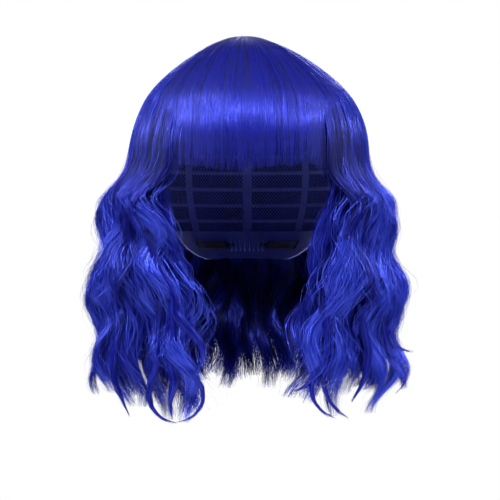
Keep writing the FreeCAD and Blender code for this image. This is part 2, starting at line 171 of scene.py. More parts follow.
def cloth_material(name, colour, light, pitch, rough=0.7, bump=0.25, sheen=0.3):
    """Woven cloth: two crossed sets of threads, pitch mm apart, with a little unevenness."""
    m, t, p, link = nodes_of(name)
    place = added(t, "TexCoord")
    both = added(t, "Math")
    both.operation = "MULTIPLY"
    for i, axis in enumerate(("X", "Z")):
        w = added(t, "TexWave", {"Scale": 1000 / pitch / 20 * 3.1, "Distortion": 0.4})
        w.bands_direction = axis
        link(place.outputs["Object"], w.inputs["Vector"])
        link(w.outputs["Fac"], both.inputs[i])
    worn = multiply_add(t, noise_at(t, place, 60).outputs["Fac"], 0.5, both.outputs[0])
    coloured(t, worn, ((0.15, colour), (1.0, light)), p)
    bumped(t, both.outputs[0], bump, 0.0004, p)
    set_inputs(p, {"Roughness": rough, "Sheen Weight": sheen, "Sheen Roughness": 0.4})
    return m


def plastic_material(name, colour, light):
    """Glossy moulded plastic with a faint grain."""
    m, t, p, _ = nodes_of(name)
    grain = noise_at(t, added(t, "TexCoord"), 900).outputs["Fac"]
    coloured(t, grain, ((0.3, colour), (0.8, light)), p)
    bumped(t, grain, 0.1, 0.0001, p)
    set_inputs(p, {"Roughness": 0.28})
    return m


NET = cloth_material("net_thread", (0.05, 0.06, 0.30), (0.12, 0.16, 0.62), 0.6, 0.6)
SATIN = cloth_material("satin_band", (0.05, 0.06, 0.34), (0.11, 0.14, 0.62), 0.7, 0.42, 0.3, 0.5)
TAPE = cloth_material("ribbon_tape", (0.07, 0.09, 0.50), (0.16, 0.20, 0.85), 0.8, 0.55, 0.4)
ELASTIC = cloth_material("elastic_web", (0.012, 0.012, 0.03), (0.045, 0.045, 0.11), 0.5, 0.8, 0.5)
PLASTIC = plastic_material("hook_plastic", (0.010, 0.010, 0.018), (0.03, 0.03, 0.045))
PAD = cloth_material("crown_gauze", (0.03, 0.035, 0.22), (0.08, 0.10, 0.45), 1.1, 0.85, 0.5)
THREAD = cloth_material("sewing_thread", (0.10, 0.13, 0.62), (0.22, 0.28, 0.95), 0.5, 0.5, 0.3)


# -------------------- meshes
def linked(name, data):
    """A new object in the scene."""
    obj = bpy.data.objects.new(name, data)
    bpy.context.scene.collection.objects.link(obj)
    return obj


def raw_mesh(name, co, quads, material):
    mesh = bpy.data.meshes.new(name)
    mesh.vertices.add(len(co))
    mesh.vertices.foreach_set("co", (co * MM).astype(np.float32).ravel())
    mesh.loops.add(quads.size)
    mesh.loops.foreach_set("vertex_index", quads.ravel().astype(np.int32))
    mesh.polygons.add(len(quads))
    mesh.polygons.foreach_set("loop_start", np.arange(0, quads.size, quads.shape[1], dtype=np.int32))
    mesh.polygons.foreach_set("use_smooth", np.ones(len(quads), bool))
    mesh.update(calc_edges=True)
    mesh.materials.append(material)
    return linked(name, mesh)


def grid_quads(rows, columns, closed):
    """Faces of a grid of points; a closed grid's rows run round."""
    i, j = np.meshgrid(np.arange(rows - 1), np.arange(columns if closed else columns - 1), indexing="ij")
    k = (j + 1) % columns
    i, below = i * columns, (i + 1) * columns
    return np.stack([i + j, below + j, below + k, i + k], -1).reshape(-1, 4)


def joined(sets):
    return [np.concatenate(x) for x in zip(*sets)]


def set_tone(obj, tone, repeat):
    """Stores the tones on the points for the fibre material, each one repeat times."""
    layer = obj.data.attributes.new("tone", "FLOAT", "POINT")
    layer.data.foreach_set("value", np.repeat(np.clip(tone, 0, 1).reshape(-1), repeat).astype(np.float32))


def frame_along(paths, out):
    """Directions across each path and out of it, at every point."""
    tangent = unit(np.gradient(paths, axis=1))
    side = unit(np.cross(tangent, out))
    return side, unit(np.cross(side, tangent))


def strand_uv(mesh, n, k, cols, quads):
    """One column of the map for each strand, running along its length."""
    uv = mesh.uv_layers.new(name="OFBake")
    across = np.linspace(0.1, 0.9, cols)
    u = ((np.arange(n)[:, None, None] + across) / n) * np.ones((1, k, 1))
    v = np.linspace(0.002, 0.998, k)[None, :, None] * np.ones((n, 1, cols))
    coords = np.stack([u, v], -1).reshape(-1, 2)[quads.ravel()].astype(np.float32)
    uv.data.foreach_set("uv", coords.ravel())


def fuller(p):
    """The right of the crown and temple stands out a little more than the left."""
    q = p.copy()
    q[..., 0] += 5 * np.exp(-(((p[..., 2] - 45) / 42) ** 2)) * smooth(p[..., 0] / 70)
    return q


def strand_mesh(name, paths, out, width, tone, ridge=True):
    """paths and out are (strands, points, 3) in mm; width and tone are (strands, points). Each strand is a
    ribbon, and a ridged one is folded up along its middle, so that it shades as a round fibre bundle."""
    paths = fuller(paths)
    n, k, _ = paths.shape
    side, up = frame_along(paths, out)
    half = (width / 2)[..., None]
    if ridge:
        cols = np.stack([paths - side * half, paths + up * half * 0.5, paths + side * half], axis=2)
    else:
        cols = np.stack([paths - side * half, paths + side * half], axis=2)
    c = cols.shape[2]
    base = np.arange(n * k).reshape(n, k)[:, :-1] * c
    quads = np.stack([base, base + 1, base + c + 1, base + c], -1)
    if ridge:
        quads = np.stack([quads, quads + 1], 2)
    quads = quads.reshape(-1, 4)
    obj = raw_mesh(name, cols.reshape(-1, 3), quads, HAIR)
    strand_uv(obj.data, n, k, c, quads)
    set_tone(obj, tone, c)
    return obj


def tube_mesh(name, paths, out, wide, deep, tone, sides=8):
    """Tapered tubes, open at their ends, along paths, with half sizes wide and deep, as (tubes, points)."""
    n, k, _ = paths.shape
    side, up = (v[:, :, None] for v in frame_along(paths, out))
    ang = np.linspace(0, 2 * np.pi, sides, endpoint=False)
    across, above = wide[..., None] * np.cos(ang), deep[..., None] * np.sin(ang)
    ring = paths[:, :, None] + side * across[..., None] + up * above[..., None]
    base = np.arange(n * k).reshape(n, k)[:, :-1, None] * sides
    j = np.arange(sides)
    after = (j + 1) % sides
    quads = np.stack([base + j, base + after, base + sides + after, base + sides + j], -1).reshape(-1, 4)
    obj = raw_mesh(name, ring.reshape(-1, 3), quads, HAIR)
    set_tone(obj, tone, sides)
    return obj


# -------------------- where the hair lies
THETA_HANG = math.acos(HANG / MANTLE[2])  # the hang line, as an angle from the top
ARC = 112.0  # mm of arc for a radian over the crown
MM_PER_DEGREE = 1.95  # round the hanging hair
# how deep a strand may run under the outside before it meets the cap, as (arc length, depth)
ROOM = ((-10, 0, 10, 38, 58, 90), (11.0, 12.0, 17.0, 23.0, 33.0, 60.0))
# how strands start: the share at the whorl, how far from its middle in radians, and how deep those
# and the others sink
WHORL_SHARE, WHORL_SPREAD = 0.12, (0.01, 0.16)
WHORL_SINK, ROOT_SINK = 1.5, 6
# painted shade near the roots: its strength, its random spread from strand to strand, and the angle from the
# top over which it fades for strands that start lower
ROOT_DARK, ROOT_DARK_RANGE, ROOT_DARK_THETA = 0.55, (0.3, 1.5), 0.38
FACING_SPREAD = 0.16  # how unevenly the strands turn to the light


def hair_point(a, d, depth, swing):
    """Place in the hanging hair: azimuth in degrees, drop, depth under the outside and swing outwards."""
    r = np.radians(a)
    hx = MANTLE[0] + along(OUT_SIDE, d) + swing - depth
    hy = MANTLE[1] + np.where(np.cos(r) > 0, along(OUT_FRONT, d), along(OUT_BACK, d)) + swing - depth
    return np.stack([hx * np.sin(r), MANTLE_Y - hy * np.cos(r), HANG - d], -1)


def peaked(p):
    """The crown drawn in a little towards the whorl, and the whorl set to one side."""
    z = p[..., 2]
    off = np.hypot(p[..., 0], p[..., 1] - MANTLE_Y)
    f = 1 - 5.0 * smooth((z - 60) / 45) * np.clip(off / 30, 0, 1) / np.maximum(off, 1)
    q = p.copy()
    q[..., 0] = p[..., 0] * f - 2 * smooth((z - 60) / 55)
    q[..., 1] = MANTLE_Y + (p[..., 1] - MANTLE_Y) * f + 3 * smooth((z - 60) / 55)
    return q


def crown_point(a, theta, depth):
    """Place on the crown: azimuth in degrees, angle from the top in radians, and depth under the outside."""
    r = np.radians(a)
    s = np.sin(theta)
    x = (MANTLE[0] - depth) * s * np.sin(r)
    y = MANTLE_Y - (MANTLE[1] - depth) * s * np.cos(r)
    return np.stack([x, y, (MANTLE[2] - depth) * np.cos(theta)], -1)


def outward(p, s=None):
    """Directions out of the hair, turned level where it hangs, if arc lengths are given."""
    o = unit((p - np.array([0, MANTLE_Y, 0.0])) / (MANTLE ** 2))
    if s is not None:
        o[..., 2] *= 1 - 0.85 * smooth(s / 30 + 0.5)
    return unit(o)


def lazy_noise(n, s, size, length):
    """Slow sideways wandering: a few random waves along each strand."""
    total = np.zeros((n, s.shape[1]))
    for k in (1.0, 2.2):
        ph = rng.uniform(0, 2 * np.pi, (n, 1))
        wl = length / k * rng.uniform(0.75, 1.3, (n, 1))
        total = total + rng.normal(0, size / k ** 0.7, (n, 1)) * np.sin(2 * np.pi * s / wl + ph)
    return total


def rounded(p, s):
    """Rounds the turn from the crown into the hanging hair."""
    q = p.copy()
    for _ in range(3):
        q[:, 1:-1] = 0.25 * q[:, :-2] + 0.5 * q[:, 1:-1] + 0.25 * q[:, 2:]
    return p + (q - p) * np.exp(-(s / 22) ** 2)[..., None]


def hair_place(a, s, depth, swing):
    """A point of the hair at arc length s, which is 0 at the hang line and negative on the crown."""
    d = np.maximum(s, 0)
    theta = THETA_HANG + np.minimum(s, 0) / ARC
    crown = peaked(crown_point(a, theta, depth))
    return rounded(np.where((s < 0)[..., None], crown, hair_point(a, d, depth, swing)), s)


def root_angles(n, reach, most):
    """Which of n strands start at the whorl, and where each starts, as an angle from the top."""
    whorl = rng.random(n) < WHORL_SHARE
    near = rng.uniform(*WHORL_SPREAD, n)
    return whorl, np.where(whorl, near, np.arcsin(np.clip(rng.random(n) ** 0.85 * reach, 0.03, most)))


def uneven(out, paths):
    """Turns each strand's facing a little to one side."""
    tangent = unit(np.gradient(paths, axis=1))
    return unit(out + rng.normal(0, FACING_SPREAD, (len(paths), 1, 1)) * np.cross(tangent, out))


def root_shade(n, run, theta0):
    """How much darker each strand is near its root, by distance along it and how high it starts."""
    dark = ROOT_DARK * rng.uniform(*ROOT_DARK_RANGE, (n, 1))
    return dark * np.exp(-run) * np.exp(-theta0[:, None] / ROOT_DARK_THETA)


class Clump:
    """One wavy bundle of strands: its centre line, its twist, and how wide and deep it is along its length."""

    def __init__(self, u, e, half, deep, length, first_of, last, salt, gather):
        self.u, self.e, self.half, self.deep, self.length = u, e, half, deep, length
        self.first_of, self.last, self.gather = first_of, last, gather
        self.wave = rng.uniform(62, 74)
        self.phase = 0.9 * math.sin(6.0 * u + salt) + rng.normal(0, 0.35) + 1.3 * e
        self.swing = rng.uniform(3.2, 6.0)
        self.sway = rng.uniform(1.0, 3.0)
        self.sway_phase = self.phase + rng.choice([-1, 1]) * rng.uniform(0.9, 2.0)
        self.twist = rng.uniform(0.5, 1.1) * rng.choice([-1, 1])
        self.bank = rng.uniform(0.10, 0.42)
        self.bank_phase = rng.uniform(0, 2 * math.pi)
        self.curl = rng.normal(0, 5.5)
        self.lean = rng.normal(0, 2.4)

    def turn(self, s):
        """The waves' phase."""
        return 2 * np.pi * (s - CREST) / self.wave

    def grown(self, s):
        """How far the waves have grown below the hang line, from 0 to 1."""
        return smooth(s / CREST)

    def azimuth(self, s):
        """The centre line's azimuth in degrees."""
        first = self.first_of(np.maximum(s, 0))
        a = first + (self.last - first) * self.u
        sway = self.sway * self.grown(s) * np.cos(self.turn(s) + self.sway_phase)
        return a + sway + self.lean * smooth((s - 60) / 120)

    def size(self, s):
        """Half width in degrees and depth in mm."""
        half = self.half * (1 - (1 - self.gather) * smooth((s - 10) / (self.length - 10)))
        return half, 0.9 + (self.deep - 0.9) * smooth((s + 15) / 60)

    def wave_out(self, s):
        return self.swing * self.grown(s) * np.cos(self.turn(s) + self.phase)

    def strands(self, sign, n, points, width, loose):
        """Paths, faces-out directions, widths and tones of n strands that wrap the bundle."""
        stray = (rng.random(n) < loose)[:, None]  # strays run outside the bundle and wander more
        phi = rng.normal(0, 1.25, n)[:, None]
        r = np.sqrt(rng.uniform(0.35, 1, n))[:, None] * np.where(stray, 1.45, 1)
        tip = self.length - np.abs(rng.normal(0, 10, n)) - 34 * (rng.random(n) < self.short) * rng.random(n)
        whorl, theta0 = root_angles(n, 1, 0.99)
        s0 = -((THETA_HANG - np.minimum(theta0, THETA_HANG - 0.06)) * ARC)[:, None]
        t = np.linspace(0, 1, points)[None, :]
        s = s0 + (tip[:, None] - s0) * t
        near_tip = smooth((s - self.length + 70) / 70)
        half, deep = self.size(s)
        deep = deep * (1 - 0.5 * near_tip)
        angle = phi + self.twist * self.grown(s) * np.sin(self.turn(s) * 0.5 + self.bank_phase)
        bank = self.bank * self.grown(s) * np.cos(self.turn(s) + self.bank_phase)
        across = half * r * np.sin(angle)
        fade = smooth((s + 60) / 110) * np.where(stray, 3.0 - 0.5 * self.fly, 1)
        drift = rng.normal(0, 1.0, n)[:, None] * np.sin(np.pi * np.clip(s / 90 + 1, 0, 1))
        a = self.azimuth(s) + across + lazy_noise(n, s, 0.38, 100) * fade + drift
        root = np.where(whorl, WHORL_SINK, ROOT_SINK)[:, None] * np.exp(-(s - s0) / 12)
        depth = along(DEPTH, np.maximum(s, 0)) * self.e + deep * (1 - r * np.cos(angle))
        depth = depth + bank * across * MM_PER_DEGREE + root
        proud = self.fly * self.grown(s + 6)
        depth = np.clip(depth - 1.5 * proud, -0.6 - 2.2 * proud, np.interp(s, *ROOM))
        swing = self.wave_out(s) + self.curl * near_tip ** 2
        swing = swing + lazy_noise(n, s, 0.8, 90) * fade
        p = hair_place(a, s, depth, swing)
        p[..., 0] *= sign
        rad = np.radians(a)
        beside = np.stack([sign * np.cos(rad), np.sin(rad), 0 * rad], -1)
        o = outward(p, s)
        lean = np.sin(angle) * np.clip(deep / (half * MM_PER_DEGREE), 0, 0.75) + bank
        out = unit(o * np.maximum(np.cos(angle), 0.15)[..., None] + beside * lean[..., None])
        out = uneven(out, p)
        w = width * rng.uniform(0.7, 1.25, (n, 1)) * (1 - 0.75 * smooth((t - 0.80) / 0.20))
        w = w * np.where(stray, 0.7, 1)
        tone = 0.50 + rng.normal(0, 0.14, (n, 1)) + self.tint + 0.10 * stray
        tone = tone - root_shade(n, (s - s0) / 24, theta0)
        # painted light and shade: lighter where the waves have grown, and darker on the strands that wrap round
        # the bundle's sides and back
        tone = tone + 0.20 * self.grown(s) - 0.20 * self.grown(s) * (1 - np.cos(angle))
        # painted shade: strands deeper in the hair are darker, less so near the tips
        tone = tone - 0.38 * self.e * (1 - 0.8 * near_tip)
        # painted shadow of the fringe: darker near the hang line, on the hair in front of about 84 degrees
        # round from the face
        tone = tone - 0.34 * np.exp(-(((s - 2) / 30) ** 2)) * smooth((84 - a) / 20)
        return p, out, w, tone

    def core(self, sign):
        """A dark solid heart, painted shade inside the bundle, so that no gap shows between the bundle's
        strands.
        """
        s = np.linspace(4, self.length * CORE_REACH, CORE_POINTS)[None, :]
        thin = smooth((s + 10) / 30) * (1 - 0.85 * smooth((s - self.length * 0.45) / (self.length * 0.41)))
        half, deep = self.size(s)
        depth = along(DEPTH, np.maximum(s, 0)) * self.e + deep + 2.2
        p = hair_place(self.azimuth(s), s, depth, self.wave_out(s))
        p[..., 0] *= sign
        wide = half * MM_PER_DEGREE * 0.72 * thin * np.clip(np.hypot(p[..., 0], p[..., 1]) / 100, 0.2, 1.1)
        return p, outward(p, s), wide, deep * 0.75 * thin + 0.3, CORE_SHADE_TONE + 0 * s


def panel(
    sign, count, length_of, layer, strands, first_of, last,
    width, gather, loose, deep, ridge, salt, calm=1, shade=0,
):
    """One panel's bundles side by side, and their cores, from the edge that first_of gives by drop to the
    azimuth last, at depths within layer, 0 being the outside. calm flattens the waves, and the last argument
    darkens the strands with painted shade."""
    sets, cores = [], []
    flying = loose == 1
    span = abs(last - float(first_of(np.array(40.0))))
    for c in range(count):
        u = (c + 0.5 + rng.normal(0, 0.12)) / count
        half = 0.78 * span / count * rng.uniform(0.85, 1.2)
        e, thick = rng.uniform(*layer), deep * rng.uniform(0.8, 1.2)
        length = length_of(u) + (rng.normal(0, 5) if ridge else rng.normal(-7, 2))
        clump = Clump(u, e, half, thick, length, first_of, last, salt, gather)
        clump.swing, clump.sway, clump.curl = clump.swing * calm, clump.sway * calm, clump.curl * calm
        # a random tint for each bundle, lighter for flyaways, darkened by the painted shade
        clump.tint = rng.normal(0, 0.09) + 0.2 * flying - shade
        clump.short = loose * 1.3
        clump.fly = float(flying)
        sets.append(clump.strands(sign, strands, POINTS, width, loose))
        cores.append(clump.core(sign))
    return joined(sets), joined(cores)


def build(name, data, ridge=True):
    """Cuts a set of strands into meshes of a size that the export keeps whole."""
    total, points = data[0].shape[:2]
    limit = int(TRIANGLES_MOST / ((points - 1) * (4 if ridge else 2)))
    order = rng.permutation(total)
    pieces = math.ceil(total / limit)
    return [strand_mesh(f"{name}_{i + 1}", *[x[order[i::pieces]] for x in data], ridge) for i in range(pieces)]


# the locks' lengths below the hang line, from the face backwards on each side, and round the back
LENGTHS = {-1: (214, 205, 198, 194, 190), 1: (204, 198, 201, 195, 191)}
BACK_LENGTHS = (188, 195, 192, 196, 191, 194)


def lengths(table):
    """A reading of a table of lengths across a panel."""
    return lambda u: float(np.interp(u * len(table) - 0.5, range(len(table)), table))


def temple_edge(d):
    """Where the strands over the meeting of fringe and side hair run, in degrees: beside the fringe, then
    down the cheek."""
    return along(FACE_EDGE, d) - 6 * (1 - smooth((d - 4) / 44))


# name, (shallowest, deepest), bundles a side, bundles behind, strands in a bundle, width, gather, loose share,
# bundle depth, ridged
LAYERS = (
    ("outer", (0.0, 0.22), 9, 12, 340, 0.50, 0.46, 0.18, 5.0, True),
    ("inner", (0.28, 0.55), 8, 10, 190, 0.60, 0.58, 0.08, 5.0, False),
    ("under", (0.60, 0.85), 7, 12, 220, 0.80, 0.92, 0.03, 4.0, False),
    ("flyaway", (0.0, 0.06), 6, 7, 46, 0.30, 0.75, 1.0, 5.0, True),
)
for label, layer, per_side, behind, strands, width, gather, loose, deep, ridge in LAYERS:
    for word, sign in SIDES:
        nodes = [f"lock_{word}_{i}" for i in range(1, 6)] + [f"crown_hair_{word}"]
        data, core = panel(
            sign, per_side, lengths(LENGTHS[sign]), layer, strands, lambda d: along(FACE_EDGE, d), BACK_EDGE,
            width, gather, loose, deep, ridge, 1.0 + sign,
        )
        made = build(f"side_hair_{word}_{label}", data, ridge)
        if label == "outer":
            made.append(tube_mesh(f"side_shade_core_{word}", *core))
        for obj in made:
            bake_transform(obj)
            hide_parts(*nodes)
    data, core = panel(
        1, behind, lengths(BACK_LENGTHS), layer, strands, lambda d: 0 * d + BACK_EDGE, 360 - BACK_EDGE,
        width, gather, loose, deep, ridge, 4.0,
    )
    made = build(f"back_hair_{label}", data, ridge)
    if label == "outer":
        made.append(tube_mesh("back_shade_core", *core))
    for obj in made:
        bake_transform(obj)
        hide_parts("crown_hair_back", *[f"lock_back_{i}" for i in range(1, 7)])


def side_strands(name, count, table, layer, strands, first_of, last, **more):
    """Shorter strands on each side, over the meeting of fringe and side hair or along the cheek."""
    for word, sign in SIDES:
        rest = {"ridge": True, "salt": 1.0 + sign, **more}
        data, _ = panel(sign, count, lengths(table), layer, strands, first_of, last, **rest)
        for obj in build(f"{name}_{word}", data):
            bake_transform(obj)


# strands over the temples, darkened with painted shade
side_strands(
    "temple_hair", 3, (60, 92, 120), (0.0, 0.03), 140, temple_edge, 54,
    width=0.50, gather=0.8, loose=0.12, deep=2.5, calm=1.0, shade=0.22,
)

# -------------------- locks that curl on their own
# for each side, the (x, z) points that a lock follows, its radius and its number of strands
CURLS = {
    -1: (
        (
            ((-68, -84), (-61, -116), (-60, -138), (-57, -157), (-46, -166), (-37, -178), (-37, -192),
             (-46, -203), (-60, -208)), 3.0, 90,
        ),
        (((-70, -100), (-73, -136), (-75, -160), (-80, -178), (-79, -194), (-70, -204), (-58, -208)), 3.4, 100),
        (((-62, -110), (-66, -148), (-60, -172), (-63, -190), (-61, -206)), 5.0, 90),
        (
            ((-84, -50), (-72, -78), (-60, -102), (-58, -118), (-47, -131), (-37, -144), (-37, -157),
             (-45, -170)), 4.4, 130,
        ),
        (((-104, -120), (-111, -150), (-110, -176), (-104, -190), (-97, -205)), 4.0, 90),
    ),
    1: (
        (((58, -104), (66, -142), (59, -163), (53, -176), (55, -189), (63, -199), (74, -205)), 2.2, 70),
        (((66, -110), (70, -150), (63, -172), (66, -186), (74, -197), (84, -205)), 1.8, 60),
        (((62, -104), (66, -144), (60, -164), (48, -177), (36, -182)), 3.0, 80),
        (((112, -90), (121, -120), (119, -138), (129, -149), (141, -152)), 2.6, 60),
        (((112, -120), (119, -148), (130, -164), (134, -176), (125, -188)), 3.0, 70),
        (((92, -110), (100, -148), (97, -172), (86, -192)), 4.6, 100),
    ),
}
CURL_PROUD = 1.5  # how far the drawn line stands out of the hair
CURL_POINTS = 46


def on_hair(points):
    """Drawn (x, z) points laid on the front of the hanging hair, starting a little under its surface."""
    laid = []
    for i, (x, z) in enumerate(points):
        d = HANG - z
        half_x = MANTLE[0] + along(OUT_SIDE, d)
        half_y = MANTLE[1] + along(OUT_FRONT, d)
        under = 7 * (1 - min(i / 2, 1)) - CURL_PROUD
        laid.append((x, MANTLE_Y - (half_y - under) * math.sqrt(max(1 - (x / half_x) ** 2, 0.03)), z))
    return laid


def spline(points, count):
    """A smooth line through a few points."""
    q = np.array(points, float)
    q = np.concatenate([2 * q[:1] - q[1:2], q, 2 * q[-1:] - q[-2:-1]])
    t = np.linspace(0, len(points) - 1.0001, count)
    i = t.astype(int)
    f = (t - i)[:, None]
    a, b, c, d = q[i], q[i + 1], q[i + 2], q[i + 3]
    return 0.5 * (2 * b + (c - a) * f + (2 * a - 5 * b + 4 * c - d) * f ** 2 + (3 * b - a - 3 * c + d) * f ** 3)


def curl(points, radius, n):
    """Strands that follow one drawn line, thick in the middle and drawn to a point."""
    count = CURL_POINTS
    line = spline(on_hair(points), count)
    t = np.linspace(0, 1, count)[None, :]
    tangent = unit(np.gradient(line, axis=0))
    o = outward(line[None], np.full((1, count), 50.0))[0]
    side = unit(np.cross(tangent, o))
    phi = rng.uniform(-np.pi, np.pi, (n, 1)) + rng.uniform(0.8, 1.6) * t
    full = 0.55 + 0.45 * np.sin(np.pi * np.minimum(t * 1.1, 1))
    r = np.sqrt(rng.uniform(0.1, 1, (n, 1))) * radius * full * (1 - 0.7 * smooth((t - 0.6) / 0.4))
    reach = rng.uniform(0.80, 1.0, (n, 1))
    k = np.clip(t * reach * (count - 1), 0, count - 1)
    i = np.minimum(k.astype(int), count - 2)
    f = (k - i)[..., None]
    base = line[i] * (1 - f) + line[i + 1] * f
    p = base + side[i] * (r * np.sin(phi))[..., None] + o[i] * (r * 0.7 * np.cos(phi))[..., None]
    p = p + side[i] * lazy_noise(n, t * 100, 0.6, 60)[..., None]
    out = unit(o[i] * np.maximum(np.cos(phi), 0.1)[..., None] + side[i] * (0.8 * np.sin(phi))[..., None])
    w = 0.5 * rng.uniform(0.7, 1.2, (n, 1)) * (1 - 0.75 * smooth((t - 0.8) / 0.2))
    # painted shade on the far side of the lock and where it comes out from under the hair
    tone = 0.50 + rng.normal(0, 0.1, (n, 1)) - 0.12 * (1 - np.cos(phi)) - 0.25 * (1 - smooth(t / 0.2))
    return p, out, w, tone


for word, sign in SIDES:
    data = joined([curl(*c) for c in CURLS[sign]])
    for obj in build(f"curls_{word}", data):
        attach(obj, f"side_hair_{word}")

# -------------------- fringe
FRINGE_LINE = 60.0  # height of the front hairline
FRINGE_HALF = 70.0  # half width
FRINGE_MIDDLE = -12  # where the wisps gather, in x
# how far the fringe hangs back from the mantle, as (height, depth): it drops straight below the brow's curve
FRINGE_SET_BACK = ((-12, 0, 10, 20, 30, 38, 46), (4.2, 5.0, 4.9, 3.8, 1.9, 0.6, 0.0))


def fringe_strands(count, n, points):
    """Bundles of n strands from the whorl over the brow, fanned on the crown and hanging straight below the
    hairline."""
    sin_line = math.sqrt(1 - (FRINGE_LINE / MANTLE[2]) ** 2)
    sets = []
    for c in range(count):
        xc = ((c + 0.5) / count * 2 - 1) * FRINGE_HALF + rng.normal(0, 0.9)
        ec = rng.uniform(0, 0.30)
        dx = rng.normal(0, FRINGE_HALF / count * 1.1, n)
        middle = math.exp(-((xc - FRINGE_MIDDLE) / 16) ** 2)
        level = 2.5 - 6.5 * math.exp(-((xc + 10) / 22) ** 2) - 13 * smooth((abs(xc) - 50) / 14)
        level = level + rng.normal(0, 0.9) + 2.5 * middle * (c % 2)
        tip = level + rng.exponential(2.6 + 4 * middle, n)
        tip = tip + 18 * (rng.random(n) < 0.22 + 0.25 * middle) * rng.random(n)
        whorl, theta0 = root_angles(n, 0.88, 0.88)
        z0 = MANTLE[2] * np.cos(theta0)
        t = np.linspace(0, 1, points)[None, :]
        th = theta0[:, None] + (np.pi / 2 - theta0[:, None]) * t
        z = tip[:, None] + MANTLE[2] * np.cos(th) * ((z0 - tip) / z0)[:, None]
        sin_t = np.sqrt(np.clip(1 - (z / MANTLE[2]) ** 2, 0, 1))
        fan = np.where(z > FRINGE_LINE, sin_t / sin_line, 1 + 0.25 * (sin_t / sin_line - 1))
        gather = 1 - (0.30 + 0.38 * middle) * smooth((22 - z) / 26)
        x = (xc + dx[:, None] * gather) * fan
        x = x + lazy_noise(n, z0[:, None] - z, 0.45, 90) + rng.normal(0, 1.2, n)[:, None] * np.sin(np.pi * t)
        e = np.clip(ec + rng.normal(0, 0.2, n), 0, 1)[:, None]
        root = np.where(whorl, WHORL_SINK, ROOT_SINK)[:, None] * np.exp(-(z0[:, None] - z) / 10)
        depth = e * 6 + root + np.interp(z - 10 * np.clip(np.abs(x) / 62, 0, 1) ** 2, *FRINGE_SET_BACK)
        hx, hy, hz = (MANTLE[i] - depth for i in range(3))
        y = MANTLE_Y - hy * np.sqrt(np.clip(1 - (x / hx) ** 2 - (z / (hz + root)) ** 2, 0.0005, 1))
        p = peaked(np.stack([x, y, z], -1))
        o = uneven(outward(p), p)
        w = 0.48 * rng.uniform(0.7, 1.25, (n, 1)) * (1 - 0.85 * smooth((t - 0.74) / 0.26))
        # the fringe starts darker than the hanging hair (0.37 against 0.50): painted shade
        tone = (0.37 + rng.normal(0, 0.11, n) + rng.normal(0, 0.02))[:, None]
        # painted shade near the roots and on strands deeper in the fringe
        tone = tone - root_shade(n, np.hypot(z0[:, None] - z, x - x[:, :1]) / 26, theta0) - 0.2 * e
        # painted shade below z 34, and between about z 55 and 98, above where the key lamp's highlight falls
        tone = tone - 0.12 * smooth((34 - z) / 12) - 0.10 * smooth((z - 55) / 10) * (1 - smooth((z - 84) / 14))
        # painted shade on the fringe's outer sides, beyond |x| 40 and below z 44
        tone = tone - 0.14 * smooth((np.abs(x) - 40) / 20) * smooth((44 - z) / 12)
        sets.append((p, o, w, tone))
    return joined(sets)


for obj in build("fringe_hair", fringe_strands(46, 108, 36)):
    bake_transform(obj)
    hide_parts("fringe", "crown_hair_front")

# -------------------- straighter hair that lies along the cheek, darkened with painted shade
CHEEK_EDGE = ((0, 8, 33, 58, 74, 91, 130), (47, 46, 38.5, 33, 28.5, 25, 23))
side_strands(
    "cheek_hair", 4, (118, 140, 160, 170), (0.30, 0.50), 150, lambda d: along(CHEEK_EDGE, d), 58,
    width=0.55, gather=0.85, loose=0.05, deep=3.0, calm=0.3, shade=0.14,
)


# -------------------- cap: hair base, net, stitches, straps (mm)
BAND_FACE = -0.12  # lift of the bands' inner face from the head form
WHORL_Y = 6.0
TAB_FRONT_Y, TAB_BACK_Y = -44.1, -19.6  # where an ear tab leaves the rim
NAPE_BAND_TOP = -49.3
ADJUSTER_Z, NAPE_AXIS_Y = -61.26, 26.96  # the adjusters' height, and the axis they travel round
PAD_HALF = np.array([34.0, 42.0])
RIBBONS, RIBBON_HALF = 8, 4.0
WEFTS = 12
WEFT_LOW, WEFT_SPAN = -41, 93  # the lowest row's elevation, and the rise from it to the highest
FAR = 400  # in front of the cap, where the rim's line comes from
RIM_STEPS = 900
ROOT_LAYER = 4.4  # lift of the dark root layer


def scalp(a, elev, lift):
    """Place on the head form: azimuth and elevation in radians, and lift in mm."""
    h = HEAD[:, None, None] + lift if np.ndim(a) == 2 else HEAD[:, None] + lift
    level = np.cos(elev)
    return np.stack([h[0] * level * np.sin(a), -h[1] * level * np.cos(a), h[2] * np.sin(elev)], -1)


def rim_curve(inset):
    """The rim in side view as (y, z), moved into the cap by an inset: a smooth curve through the cap's
    landmarks."""
    y, z = (np.array(v, float) for v in RIM)
    q = np.stack([y, z], -1)
    far = [-FAR, q[0][1]]
    run = q[2:] - q[:-2]
    run[0] = q[2] - far
    run = unit(np.concatenate([[q[1] - far], run])[: len(q) - 1])
    q = q[:-1] + inset * np.stack([-run[:, 1], run[:, 0]], -1)
    t = np.concatenate([[0], np.cumsum(np.linalg.norm(np.diff(q, axis=0), axis=1))])
    h, n = np.diff(t), len(t)
    a, b = np.eye(n), np.zeros((n, 2))
    for i in range(1, n - 1):
        a[i, i - 1:i + 2] = h[i - 1], 2 * (h[i - 1] + h[i]), h[i]
        b[i] = 6 * ((q[i + 1] - q[i]) / h[i] - (q[i] - q[i - 1]) / h[i - 1])
    m = np.linalg.solve(a, b)
    s = np.linspace(0, t[-1], RIM_STEPS)
    i = np.clip(np.searchsorted(t, s, side="right") - 1, 0, n - 2)
    f, hi = ((s - t[i]) / h[i])[:, None], h[i][:, None]
    bend = ((1 - f) ** 3 - (1 - f)) * m[i] + (f ** 3 - f) * m[i + 1]
    line = (1 - f) * q[i] + f * q[i + 1] + hi ** 2 / 6 * bend
    return np.concatenate([line, [[140, line[-1, 1]]]])


RIM_LINE = rim_curve(0)


